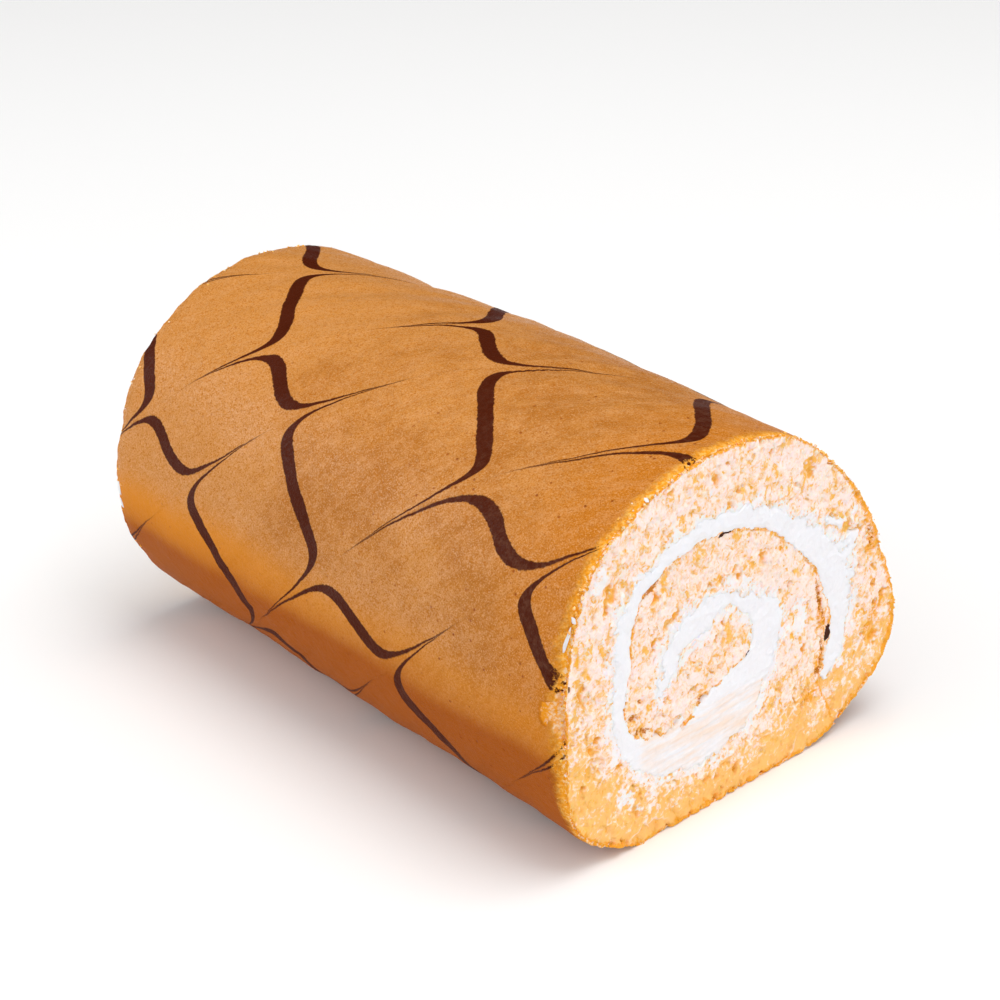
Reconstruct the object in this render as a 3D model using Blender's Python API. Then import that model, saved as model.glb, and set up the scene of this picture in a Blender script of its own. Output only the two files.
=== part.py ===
"""A Swiss roll: one thick sponge sheet, rolled round whipped cream and cut square at both ends.

The roll lies along X with its finished cut face towards +X, on the flat that its own weight presses
into it. The origin is at the middle of the underside. Metres, +Z up.
"""

import math

import bmesh
import bpy
from mathutils import Matrix, Vector, noise

MM = 0.001
NAME = "swiss_roll"

# The roll
LENGTH = 150.0 * MM
AXIS_HEIGHT = 41.0 * MM      # height of the section's centre; the skin is pressed flat below it
GAP = 0.3 * MM               # clearance between the sponge and the cream

# Radius of the skin about the section's centre in millimetres, every 20 degrees anticlockwise from
# +Y, seen from +X. The roll sags towards +Y, and its front end has a soft shoulder on the upper left.
FRONT_RADII = (54.9, 48.9, 45.4, 45.1, 44.5, 44.9, 46.4, 48.7, 48.6, 47.0, 48.4, 50.3, 47.2, 42.2, 42.2,
               47.6, 57.5, 63.3)
BACK_RADII = (53.4, 49.2, 45.8, 45.2, 44.6, 44.8, 45.4, 46.3, 46.0, 46.4, 46.7, 46.0, 45.6, 42.2, 42.2,
              47.6, 57.0, 60.5)

# The cream's middle line winds in about a core beside the section's centre: turn in degrees from +Y,
# distance from the core and width, in millimetres, from outside the seam to the rolled-in end
CORE = (-2.0, -8.0)
CREAM_SPIRAL = (
    (-38, 60.0, 1.0), (-33, 51.6, 1.8), (-25, 46.8, 4.4), (-17, 43.6, 6.0), (-5, 42.2, 8.4),
    (8, 41.2, 7.8), (21, 39.2, 7.4), (37, 36.4, 6.0), (50, 35.4, 5.2), (66, 35.2, 4.6), (85, 35.4, 4.4),
    (103, 36.2, 3.8), (120, 36.4, 3.2), (131, 36.3, 3.8), (144, 33.1, 4.6), (156, 29.4, 3.8),
    (170, 28.0, 2.8), (183, 27.3, 3.4), (199, 24.8, 5.2), (218, 20.4, 8.5), (247, 15.2, 12.0),
    (290, 11.6, 16.0), (335, 13.4, 11.5), (368, 17.2, 8.6), (390, 18.2, 6.0), (414, 18.4, 3.8),
    (437, 17.2, 4.2), (464, 16.4, 6.6), (492, 16.2, 8.4), (518, 16.6, 6.0), (533, 17.4, 2.2),
)
SPIRAL_STEPS = 3             # points worked out for each stretch of the spiral

# The skin: its facets, its soft waves, and the places where it is shaped, in millimetres behind the
# front face and closer together round each blemish
SKIN_SEGMENTS = 72
SKIN_WAVE = 0.25 * MM
SKIN_WAVE_SIZE = 28.0 * MM
STATIONS = (3.0, 6.5, 11.0, 18.0, 30.0, 45.0, 60.0, 75.0, 90.0, 102.0, 109.0, 114.0, 119.0, 126.0, 135.0,
            143.0)

# Blemishes: degrees round the skin, distance behind the front face, height, half extent round the
# skin and half extent along it, the last four in millimetres
BLEMISHES = (
    (176.0, 4.0, 0.9, 4.0, 4.5),        # torn crust standing proud
    (3.0, 0.0, -0.9, 2.2, 20.0),        # crack across the outer turn
    (58.0, 74.0, 1.8, 42.0, 44.0),      # the roll swells between its ends
    (58.0, 114.0, -1.0, 9.0, 5.0),      # dent on the top
    (165.0, 150.0, -0.7, 3.5, 12.0),    # dent in the back rim
)

# The cut faces
FACET = 3.6 * MM
LUMP_SIZE = 9.0 * MM
PIT_SIZE = 3.5 * MM
CRUMB_RELIEF = 0.8 * MM
CREAM_RELIEF = 0.4 * MM
RELIEF_DEPTH = 0.45          # share of the relief that lies behind the plane of the cut

# How near a vertex is to a plane when it counts as on it, and where a bisected plane takes one over
ON_PLANE = 0.01 * MM
SNAP = 0.05 * MM

# Colours, linear, and roughness
SPONGE_COLOUR = (0.58, 0.28, 0.09, 1.0)
SPONGE_ROUGHNESS = 0.75
CREAM_COLOUR = (0.93, 0.91, 0.90, 1.0)
CREAM_ROUGHNESS = 0.45
SHARP_ANGLE = math.radians(40.0)
SAME_DIRECTION = math.radians(0.05)


def spline(before, start, end, after, t):
    """Catmull-Rom value a fraction t of the way from start to end."""
    slope = end - before
    bend = 2 * before - 5 * start + 4 * end - after
    twist = 3 * start - before - 3 * end + after
    return 0.5 * (2 * start + slope * t + bend * t ** 2 + twist * t ** 3)


def ring_radius(radii, degrees):
    """Radius in metres at an angle, from values spaced evenly round the section."""
    place = degrees / 360.0 * len(radii)
    first = math.floor(place)
    before, start, end, after = (radii[(first + k) % len(radii)] for k in (-1, 0, 1, 2))
    return spline(before, start, end, after, place - first) * MM


def blemish_height(degrees, behind_front, radius):
    """Height of all the blemishes above the plain skin."""
    height = 0.0
    for angle, distance, peak, half_round, half_along in BLEMISHES:
        turn = (degrees - angle + 180.0) % 360.0 - 180.0
        across = math.radians(turn) * radius / (half_round * MM)
        along = (behind_front - distance * MM) / (half_along * MM)
        height += peak * MM * math.exp(-across ** 2 - along ** 2)
    return height


def skin_point(degrees, x):
    """A point on the skin at an angle round the section and a place along the roll."""
    blend = x / LENGTH + 0.5
    radius = (1 - blend) * ring_radius(BACK_RADII, degrees) + blend * ring_radius(FRONT_RADII, degrees)
    angle = math.radians(degrees)
    way = Vector((x, radius * math.cos(angle), radius * math.sin(angle)))
    radius += SKIN_WAVE * noise.noise(way / SKIN_WAVE_SIZE)
    radius += blemish_height(degrees, LENGTH / 2 - x, radius)
    return Vector((x, radius * math.cos(angle), max(radius * math.sin(angle), -AXIS_HEIGHT)))


def spiral_stations():
    """Smooth (turn, distance, width) values through the spiral's stations."""
    rows = [Vector(station) for station in CREAM_SPIRAL]
    rows = [2 * rows[0] - rows[1]] + rows + [2 * rows[-1] - rows[-2]]
    smooth = []
    for before, start, end, after in zip(rows, rows[1:], rows[2:], rows[3:]):
        for step in range(SPIRAL_STEPS):
            t = step / SPIRAL_STEPS
            smooth.append([spline(*values, t) for values in zip(before, start, end, after)])
    return smooth + [list(rows[-2])]


def ribbon_outline(skip, grow):
    """Closed outline, across and up, of the cream's ribbon, grown by a margin on every side."""
    middle = []
    widths = []
    for turn, distance, width in spiral_stations()[skip:]:
        angle = math.radians(turn)
        place = Vector((CORE[0] + distance * math.cos(angle), CORE[1] + distance * math.sin(angle)))
        middle.append(place * MM)
        widths.append(width * MM + 2 * grow)
    left = []
    right = []
    last = len(middle) - 1
    for index, centre in enumerate(middle):
        along = (middle[min(index + 1, last)] - middle[max(index - 1, 0)]).normalized()
        if index == last:
            centre = centre + along * grow
        side = Vector((-along.y, along.x)) * widths[index] / 2
        left.append(centre + side)
        right.append(centre - side)
    return left + right[::-1]


def new_object(name, data, collection):
    """Link a new object that shows a mesh or a curve."""
    item = bpy.data.objects.new(name, data)
    collection.objects.link(item)
    return item


def evaluated_mesh(item):
    """A new mesh of an object as its curve or its modifiers shape it."""
    bpy.context.view_layer.update()
    evaluated = item.evaluated_get(bpy.context.evaluated_depsgraph_get())
    return bpy.data.meshes.new_from_object(evaluated)


def ribbon_object(name, skip, grow, length, collection):
    """The cream's ribbon as a filled curve, without its first points, extruded and made a mesh."""
    curve = bpy.data.curves.new(name, "CURVE")
    curve.dimensions = "2D"
    curve.fill_mode = "BOTH"
    curve.extrude = length / 2
    line = curve.splines.new("POLY")
    points = ribbon_outline(skip, grow)
    line.points.add(len(points) - 1)
    for point, place in zip(line.points, points):
        point.co = (place.x, place.y, 0.0, 1.0)
    line.use_cyclic_u = True
    drawn = new_object(name + "_curve", curve, collection)
    mesh = evaluated_mesh(drawn)
    mesh.name = name
    bpy.data.objects.remove(drawn)
    bpy.data.curves.remove(curve)
    bm = bmesh.new()
    bm.from_mesh(mesh)
    bmesh.ops.remove_doubles(bm, verts=bm.verts, dist=ON_PLANE)
    # the curve's X, Y and Z become the roll's Y, Z and X
    turned = Matrix(((0, 0, 1, 0), (1, 0, 0, 0), (0, 1, 0, 0), (0, 0, 0, 1)))
    bmesh.ops.transform(bm, matrix=turned, verts=bm.verts)
    bmesh.ops.dissolve_limit(bm, angle_limit=SAME_DIRECTION, verts=bm.verts, edges=bm.edges)
    bmesh.ops.recalc_face_normals(bm, faces=bm.faces)
    bm.to_mesh(mesh)
    bm.free()
    return new_object(name, mesh, collection)


def roll_object(name, collection):
    """The whole roll's outer form: a cylinder cut at its stations and shaped by the skin's radii."""
    bm = bmesh.new()
    bmesh.ops.create_cone(bm, cap_ends=True, segments=SKIN_SEGMENTS, radius1=1.0, radius2=1.0, depth=LENGTH,
                          matrix=Matrix.Rotation(math.radians(90.0), 4, "Y"))
    for behind_front in STATIONS:
        bmesh.ops.bisect_plane(bm, geom=bm.verts[:] + bm.edges[:] + bm.faces[:],
                               plane_co=(LENGTH / 2 - behind_front * MM, 0.0, 0.0), plane_no=(1.0, 0.0, 0.0))
    for vert in bm.verts:
        degrees = math.degrees(math.atan2(vert.co.z, vert.co.y))
        vert.co = skin_point(degrees, vert.co.x)
    bmesh.ops.recalc_face_normals(bm, faces=bm.faces)
    mesh = bpy.data.meshes.new(name)
    bm.to_mesh(mesh)
    bm.free()
    return new_object(name, mesh, collection)


def cut_out(item, cutter):
    """Subtract the cutter from an object and keep the result as the object's own mesh."""
    modifier = item.modifiers.new("cream_channel", "BOOLEAN")
    modifier.operation = "DIFFERENCE"
    modifier.solver = "EXACT"
    modifier.object = cutter
    whole = item.data
    item.data = evaluated_mesh(item)
    item.modifiers.clear()
    bpy.data.meshes.remove(whole)
    item.data.name = item.name
    cutter.hide_render = True
    cutter.display_type = "WIRE"


def cut_relief(place, height):
    """How far a point on a cut face stands out: coarse lumps and finer pits in equal parts."""
    lumps = noise.noise(place / LUMP_SIZE)
    pits = noise.noise(place / PIT_SIZE)
    return height * ((lumps + pits) / 2 - RELIEF_DEPTH)


def cut_geometry(bm, end):
    """The vertices, edges and faces that lie in the plane of the cut at one end."""
    faces = [face for face in bm.faces if all(abs(vert.co.x - end) < ON_PLANE for vert in face.verts)]
    edges = {edge for face in faces for edge in face.edges}
    verts = {vert for face in faces for vert in face.verts}
    return list(verts) + list(edges) + faces


def roughen_ends(item, height):
    """Divide both cut faces into small facets and move them in and out along the roll."""
    bm = bmesh.new()
    bm.from_mesh(item.data)
    for side in (-1, 1):
        end = side * LENGTH / 2
        for axis, normal in ((1, Vector((0.0, 1.0, 0.0))), (2, Vector((0.0, 0.0, 1.0)))):
            low = min(vert.co[axis] for vert in bm.verts)
            high = max(vert.co[axis] for vert in bm.verts)
            count = math.ceil((high - low) / FACET)
            for step in range(1, count):
                bmesh.ops.bisect_plane(bm, geom=cut_geometry(bm, end), dist=SNAP, plane_no=normal,
                                       plane_co=normal * (low + (high - low) * step / count))
        for vert in bm.verts:
            if abs(vert.co.x - end) < ON_PLANE:
                vert.co.x += side * cut_relief(vert.co, height)
    bmesh.ops.triangulate(bm, faces=bm.faces, quad_method="BEAUTY", ngon_method="BEAUTY")
    bmesh.ops.recalc_face_normals(bm, faces=bm.faces)
    bm.to_mesh(item.data)
    bm.free()


def dress(item, colour, roughness):
    """Give an object its own plain material and shade it smooth except at the cut edges."""
    material = bpy.data.materials.new(item.name)
    material.use_nodes = True
    shader = material.node_tree.nodes["Principled BSDF"]
    shader.inputs["Base Color"].default_value = colour
    shader.inputs["Roughness"].default_value = roughness
    shader.inputs["Metallic"].default_value = 0.0
    item.data.materials.clear()
    item.data.materials.append(material)
    item.data.shade_smooth()
    item.data.set_sharp_from_angle(angle=SHARP_ANGLE)


def settle(items):
    """Move meshes together so that the middle of the roll's underside is the origin."""
    places = [vert.co for item in items for vert in item.data.vertices]
    low = Vector([min(place[axis] for place in places) for axis in range(3)])
    high = Vector([max(place[axis] for place in places) for axis in range(3)])
    shift = Vector(((low.x + high.x) / -2, (low.y + high.y) / -2, -low.z))
    for item in items:
        item.data.transform(Matrix.Translation(shift))
    return shift


def build():
    """Model the sponge and the cream."""
    for item in list(bpy.data.objects):
        bpy.data.objects.remove(item)
    parts = bpy.data.collections.new(NAME)
    cutters = bpy.data.collections.new("cutters")
    for collection in (parts, cutters):
        bpy.context.scene.collection.children.link(collection)

    cream = ribbon_object("cream", SPIRAL_STEPS, 0.0, LENGTH, parts)
    channel = ribbon_object("cream_channel", 0, GAP, LENGTH * 1.2, cutters)
    sponge = roll_object("sponge", parts)
    cut_out(sponge, channel)
    roughen_ends(sponge, CRUMB_RELIEF)
    roughen_ends(cream, CREAM_RELIEF)
    dress(sponge, SPONGE_COLOUR, SPONGE_ROUGHNESS)
    dress(cream, CREAM_COLOUR, CREAM_ROUGHNESS)
    shift = settle([sponge, cream])
    channel.data.transform(Matrix.Translation(shift))


build()
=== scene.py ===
"""Looks of a Swiss roll: browned skin with a feathered chocolate pattern, open crumb and whipped cream.

The roll lies along X with its finished cut face towards +X. Lengths are in metres. Places on a cut
face are (across, up) from the centre of the roll's section, and angles round the section are in
degrees, anticlockwise from +Y as seen from +X.
"""

from __future__ import annotations

import logging
import math
from dataclasses import dataclass
from enum import Enum
from typing import Any, Callable, Sequence

import bmesh
import bpy
import numpy as np
from mathutils import Euler, Matrix, Vector, noise


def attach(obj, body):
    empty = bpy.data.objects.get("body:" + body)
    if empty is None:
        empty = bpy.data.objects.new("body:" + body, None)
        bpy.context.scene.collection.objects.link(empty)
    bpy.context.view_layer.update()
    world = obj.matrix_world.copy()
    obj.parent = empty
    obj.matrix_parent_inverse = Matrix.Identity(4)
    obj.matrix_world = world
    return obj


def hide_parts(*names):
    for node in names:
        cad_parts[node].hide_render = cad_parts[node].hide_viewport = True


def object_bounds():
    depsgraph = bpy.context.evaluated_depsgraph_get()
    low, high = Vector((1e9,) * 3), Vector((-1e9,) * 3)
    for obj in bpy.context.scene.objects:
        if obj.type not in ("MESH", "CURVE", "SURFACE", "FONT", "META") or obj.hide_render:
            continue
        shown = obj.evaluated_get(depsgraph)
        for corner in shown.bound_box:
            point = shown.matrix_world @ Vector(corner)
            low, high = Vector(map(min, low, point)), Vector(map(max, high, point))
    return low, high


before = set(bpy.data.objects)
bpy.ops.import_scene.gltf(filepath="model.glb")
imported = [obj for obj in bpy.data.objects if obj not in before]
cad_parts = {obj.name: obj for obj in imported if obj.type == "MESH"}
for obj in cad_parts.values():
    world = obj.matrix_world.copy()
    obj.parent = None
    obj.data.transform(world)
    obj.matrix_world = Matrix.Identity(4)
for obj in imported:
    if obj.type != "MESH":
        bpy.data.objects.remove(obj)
SOLID_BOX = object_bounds()

MM = 0.001
LOG = logging.getLogger("swiss_roll")
Colour = tuple[float, float, float]


class Slot(Enum):
    """Solids of model.glb that the finished pieces stand in for and hide."""

    SPONGE = "sponge"
    CREAM = "cream"


class End(Enum):
    """The two cut ends of the roll, by the direction that they face along X."""

    FRONT = 1
    BACK = -1


# ---------------------------------------------------------------- numbers

def catmull_rom(before: np.ndarray, start: np.ndarray, end: np.ndarray, after: np.ndarray,
                t: np.ndarray) -> np.ndarray:
    """Value a fraction t of the way from start to end on a Catmull-Rom spline.

    Args:
        before: Value before the stretch.
        start: Value where the stretch starts.
        end: Value where the stretch ends.
        after: Value after the stretch.
        t: Fraction of the stretch.

    Returns:
        The interpolated values.
    """
    slope = end - before
    bend = 2 * before - 5 * start + 4 * end - after
    twist = 3 * start - before - 3 * end + after
    return 0.5 * (2 * start + slope * t + bend * t ** 2 + twist * t ** 3)


def smoothstep(low: float, high: float, value: np.ndarray) -> np.ndarray:
    """Smooth step from 0 at low to 1 at high, which may be the smaller one."""
    t = np.clip((value - low) / (high - low), 0.0, 1.0)
    return t * t * (3.0 - 2.0 * t)


def perlin(points: np.ndarray, size: float, seed: float = 0.0) -> np.ndarray:
    """Perlin noise, about -1 to 1, at rows of points.

    Args:
        points: Rows of three coordinates.
        size: Size of the noise's features, in the points' units.
        seed: Offset that picks another pattern.

    Returns:
        One value for each row.
    """
    return np.array([noise.noise(Vector(row)) for row in points / size + seed])


def foam(points: np.ndarray, size: float, seed: float = 0.0) -> tuple[np.ndarray, np.ndarray]:
    """Bubbles of a foam at rows of points.

    Args:
        points: Rows of three coordinates.
        size: Size of the bubbles, in the points' units.
        seed: Offset that picks another foam.

    Returns:
        The distance from the nearest wall in bubble sizes, and a value from 0 to 1 that is the
        same all over a bubble.
    """
    walls = np.empty(len(points))
    shares = np.empty(len(points))
    for index, row in enumerate(points / size + seed):
        distances, centres = noise.voronoi(Vector(row))
        walls[index] = distances[1] - distances[0]
        shares[index] = noise.cell(centres[0] * 7.3)
    return walls, shares


def distance_to_line(points: np.ndarray, line: np.ndarray) -> np.ndarray:
    """Distance from points to an open chain of straight stretches, in the plane.

    Args:
        points: Rows of two coordinates.
        line: The chain's corners, rows of two coordinates.

    Returns:
        The distance of each point from the nearest stretch.
    """
    nearest = np.full(len(points), np.inf)
    for start, end in zip(line[:-1], line[1:]):
        along = end - start
        offset = points - start
        t = np.clip(offset @ along / max(along @ along, 1e-12), 0.0, 1.0)
        gap = offset - t[:, None] * along
        nearest = np.minimum(nearest, np.einsum("ij,ij->i", gap, gap))
    return np.sqrt(nearest)


def in_space(points: np.ndarray, x: float = 0.0) -> np.ndarray:
    """Points of a section as points in space, all at one place along the roll."""
    return np.column_stack((np.full(len(points), x), points))


def inside_polygon(points: np.ndarray, polygon: np.ndarray) -> np.ndarray:
    """Whether points lie inside a closed polygon, in the plane.

    Args:
        points: Rows of two coordinates.
        polygon: The corners in order, rows of two coordinates.

    Returns:
        True for each point inside.
    """
    inside = np.zeros(len(points), bool)
    for start, end in zip(polygon, np.roll(polygon, -1, axis=0)):
        crosses = (start[1] > points[:, 1]) != (end[1] > points[:, 1])
        if not crosses.any():
            continue
        rise = end[1] - start[1]
        where = start[0] + (points[:, 1] - start[1]) * (end[0] - start[0]) / (rise or 1e-12)
        inside ^= crosses & (points[:, 0] < where)
    return inside


# ---------------------------------------------------------------- form of the roll

@dataclass(frozen=True)
class Blemish:
    """A bump or dent in the skin; the last four are in millimetres."""

    degrees: float
    behind: float
    height: float
    half_round: float
    half_along: float


@dataclass(frozen=True)
class RollForm:
    """The roll's outer form and the course of its cream, as the solids have them."""

    length: float = 150.0 * MM
    axis_height: float = 41.0 * MM
    axis_across: float = -6.097 * MM
    front_radii: tuple[float, ...] = (54.9, 48.9, 45.4, 45.1, 44.5, 44.9, 46.4, 48.7, 48.6, 47.0, 48.4,
                                      50.3, 47.2, 42.2, 42.2, 47.6, 57.5, 63.3)
    back_radii: tuple[float, ...] = (53.4, 49.2, 45.8, 45.2, 44.6, 44.8, 45.4, 46.3, 46.0, 46.4, 46.7,
                                     46.0, 45.6, 42.2, 42.2, 47.6, 57.0, 60.5)
    wave: float = 0.25 * MM
    wave_size: float = 28.0 * MM
    blemishes: tuple[Blemish, ...] = (
        Blemish(176.0, 4.0, 0.9, 4.0, 4.5),
        Blemish(3.0, 0.0, -0.9, 2.2, 20.0),
        Blemish(58.0, 74.0, 1.8, 42.0, 44.0),
        Blemish(58.0, 114.0, -1.0, 9.0, 5.0),
        Blemish(165.0, 150.0, -0.7, 3.5, 12.0),
    )
    core: tuple[float, float] = (-2.0, -8.0)
    cream_spiral: tuple[tuple[float, float, float], ...] = (
        (-38, 60.0, 1.0), (-33, 50.6, 1.4), (-25, 41.4, 1.8), (-21, 41.0, 3.0), (-15, 41.5, 4.4),
        (-8, 41.7, 5.2), (0, 41.8, 6.6), (9, 41.2, 7.9), (21, 39.2, 7.4), (37, 36.4, 6.0),
        (50, 35.4, 5.2), (66, 35.2, 4.6), (85, 35.4, 4.4),
        (103, 36.2, 3.8), (120, 36.4, 3.2), (131, 36.3, 3.8), (144, 33.1, 4.6), (156, 29.4, 3.8),
        (170, 28.0, 2.8), (183, 27.3, 3.4), (199, 24.8, 5.2), (218, 20.4, 8.5), (247, 15.2, 12.0),
        (290, 12.0, 17.0), (330, 12.6, 14.0), (352, 15.2, 10.0), (368, 17.5, 8.8), (380, 18.3, 8.2),
        (395, 18.0, 6.4), (414, 17.3, 4.0), (434, 17.6, 3.4), (452, 16.6, 5.8), (468, 15.4, 8.0),
        (484, 15.4, 7.4), (497, 15.6, 5.4), (513, 14.9, 3.4), (526, 15.4, 2.0), (535, 16.0, 1.2),
    )
    spiral_steps: int = 6
    back_curl: float = 0.45 * MM
    back_inset: float = 0.7 * MM
    curl_reach: float = 4.0 * MM
    browned_turn: float = 350.0      # past this turn the sheet's inner side has no skin

    def ring(self, radii: Sequence[float], degrees: np.ndarray) -> np.ndarray:
        """Radius at angles, from values in millimetres spaced evenly round the section."""
        values = np.array(radii) * MM
        place = degrees / 360.0 * len(values)
        first = np.floor(place).astype(int)
        before, start, end, after = (values[(first + k) % len(values)] for k in (-1, 0, 1, 2))
        return catmull_rom(before, start, end, after, place - first)

    def radius(self, degrees: np.ndarray, x: np.ndarray) -> np.ndarray:
        """Radius of the skin at angles and places along the roll."""
        blend = x / self.length + 0.5
        radius = (1 - blend) * self.ring(self.back_radii, degrees)
        radius = radius + blend * self.ring(self.front_radii, degrees)
        angle = np.radians(degrees)
        way = np.stack((x, radius * np.cos(angle), radius * np.sin(angle)), axis=-1)
        radius = radius + self.wave * perlin(way, self.wave_size)
        behind = self.length / 2 - x
        shaped = radius.copy()
        for blemish in self.blemishes:
            turn = (degrees - blemish.degrees + 180.0) % 360.0 - 180.0
            across = np.radians(turn) * radius / (blemish.half_round * MM)
            along = (behind - blemish.behind * MM) / (blemish.half_along * MM)
            shaped += blemish.height * MM * np.exp(-across ** 2 - along ** 2)
        return shaped

    def place(self, degrees: np.ndarray, x: np.ndarray, lift: np.ndarray | float = 0.0) -> np.ndarray:
        """Points on the skin, or at a height above it.

        Args:
            degrees: Angles round the section.
            x: Places along the roll.
            lift: Height above the skin, negative below it.

        Returns:
            Rows of three coordinates in the roll's frame.
        """
        radius = self.radius(degrees, x) - self.curl(degrees, x) + lift
        angle = np.radians(degrees)
        up = np.maximum(radius * np.sin(angle), -self.axis_height - np.minimum(lift, 0.0))
        return np.stack((x, radius * np.cos(angle) + self.axis_across, up + self.axis_height), axis=-1)

    def tucked(self, degrees: np.ndarray) -> np.ndarray:
        """How far the skin's edge is drawn in at the front face: most on the side beside the tear."""
        turn = (degrees + 180.0) % 360.0 - 180.0
        below = np.where(turn < 0, turn, -180.0)
        side = smoothstep(140.0, 162.0, np.abs(turn)) * smoothstep(-150.0, -170.0, below)
        upper = smoothstep(45.0, 85.0, np.abs(turn))
        return (0.08 + 0.3 * upper + 2.0 * side) * MM

    def curl(self, degrees: np.ndarray, x: np.ndarray) -> np.ndarray:
        """How far the skin curls inwards near both cut ends."""
        near = smoothstep(self.curl_reach, 0.0, self.length / 2 - np.abs(x))
        return np.where(x > 0, self.tucked(degrees) * near ** 1.5, self.back_curl * near ** 2)

    def spiral(self) -> np.ndarray:
        """Rows of (turn, distance, width), smooth along the cream, distances in metres."""
        rows = np.array(self.cream_spiral, float)
        rows[:, 1:] *= MM
        rows = np.vstack((2 * rows[0] - rows[1], rows, 2 * rows[-1] - rows[-2]))
        steps = np.arange(self.spiral_steps)[:, None] / self.spiral_steps
        stretches = [catmull_rom(*rows[k:k + 4], steps) for k in range(len(rows) - 3)]
        return np.vstack(stretches + [rows[-2:-1]])

    def cream_edges(self) -> tuple[np.ndarray, np.ndarray]:
        """The cream's inner and outer edge on a cut face, point for point."""
        spiral = self.spiral()
        angle = np.radians(spiral[:, 0])
        middle = np.stack((np.cos(angle), np.sin(angle)), axis=-1) * spiral[:, 1:2]
        middle += np.array(self.core) * MM
        along = np.gradient(middle, axis=0)
        along /= np.linalg.norm(along, axis=1)[:, None]
        side = np.stack((-along[:, 1], along[:, 0]), axis=-1) * spiral[:, 2:] / 2
        return middle + side, middle - side

    def seam_degrees(self) -> float:
        """Angle at which the sheet's outer end closes the roll, from -180 to 180."""
        inner, outer = self.cream_edges()
        line = (inner + outer) / 2
        turn = np.degrees(np.arctan2(line[:, 1], line[:, 0]))
        beyond = np.linalg.norm(line, axis=1) - self.ring(self.front_radii, turn)
        last = int(np.argmax(beyond < 0))
        return float(turn[last])

    def outline(self, x: float, inset: float) -> Callable[[np.ndarray], np.ndarray]:
        """The radius of the section at x, less an inset, as a function of points on the section."""
        angles = np.arange(0.0, 360.0, 0.5)
        radii = self.radius(angles, np.full(len(angles), x)) - inset
        if abs(x) > 0.49 * self.length:
            radii -= self.tucked(angles) if x > 0 else self.back_curl + self.back_inset
        flat = self.axis_height - inset

        def limit(points: np.ndarray) -> np.ndarray:
            """The radius in each point's direction."""
            turn = np.degrees(np.arctan2(points[:, 1], points[:, 0])) % 360.0
            radius = np.interp(turn, angles, radii, period=360.0)
            fall = -np.sin(np.radians(turn))
            pressed = np.where(fall > 1e-6, flat / np.maximum(fall, 1e-6), np.inf)
            return np.minimum(radius, pressed)

        return limit


# ---------------------------------------------------------------- shader maths

def operator(operation: str, flipped: bool = False) -> Callable[[Signal, Any], Signal]:
    """A Signal's method that adds a Math node.

    Args:
        operation: The node's operation.
        flipped: Whether the Signal is the second of the two values.

    Returns:
        The method.
    """
    def apply(self: Signal, other: Any) -> Signal:
        """The node on this and the other value."""
        return self.graph.math(operation, *((other, self) if flipped else (self, other)))

    return apply


class Signal:
    """A node's output socket that takes part in Python expressions."""

    def __init__(self, graph: Graph, socket: bpy.types.NodeSocket) -> None:
        """Keep the socket and the graph that it belongs to."""
        self.graph = graph
        self.socket = socket

    __add__ = __radd__ = operator("ADD")
    __sub__ = operator("SUBTRACT")
    __rsub__ = operator("SUBTRACT", flipped=True)
    __mul__ = __rmul__ = operator("MULTIPLY")
    __truediv__ = operator("DIVIDE")
    __rtruediv__ = operator("DIVIDE", flipped=True)
    least = operator("MINIMUM")
    most = operator("MAXIMUM")

    def __abs__(self) -> Signal:
        """Magnitude."""
        return self.graph.math("ABSOLUTE", self)

    def root(self) -> Signal:
        """Square root."""
        return self.graph.math("SQRT", self)

    def step(self, low: Any, high: Any) -> Signal:
        """Smooth step from 0 at low to 1 at high."""
        node = self.graph.node("ShaderNodeMapRange", {"interpolation_type": "SMOOTHSTEP"},
                               {"Value": self, "From Min": low, "From Max": high})
        return Signal(self.graph, node.outputs["Result"])


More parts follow.
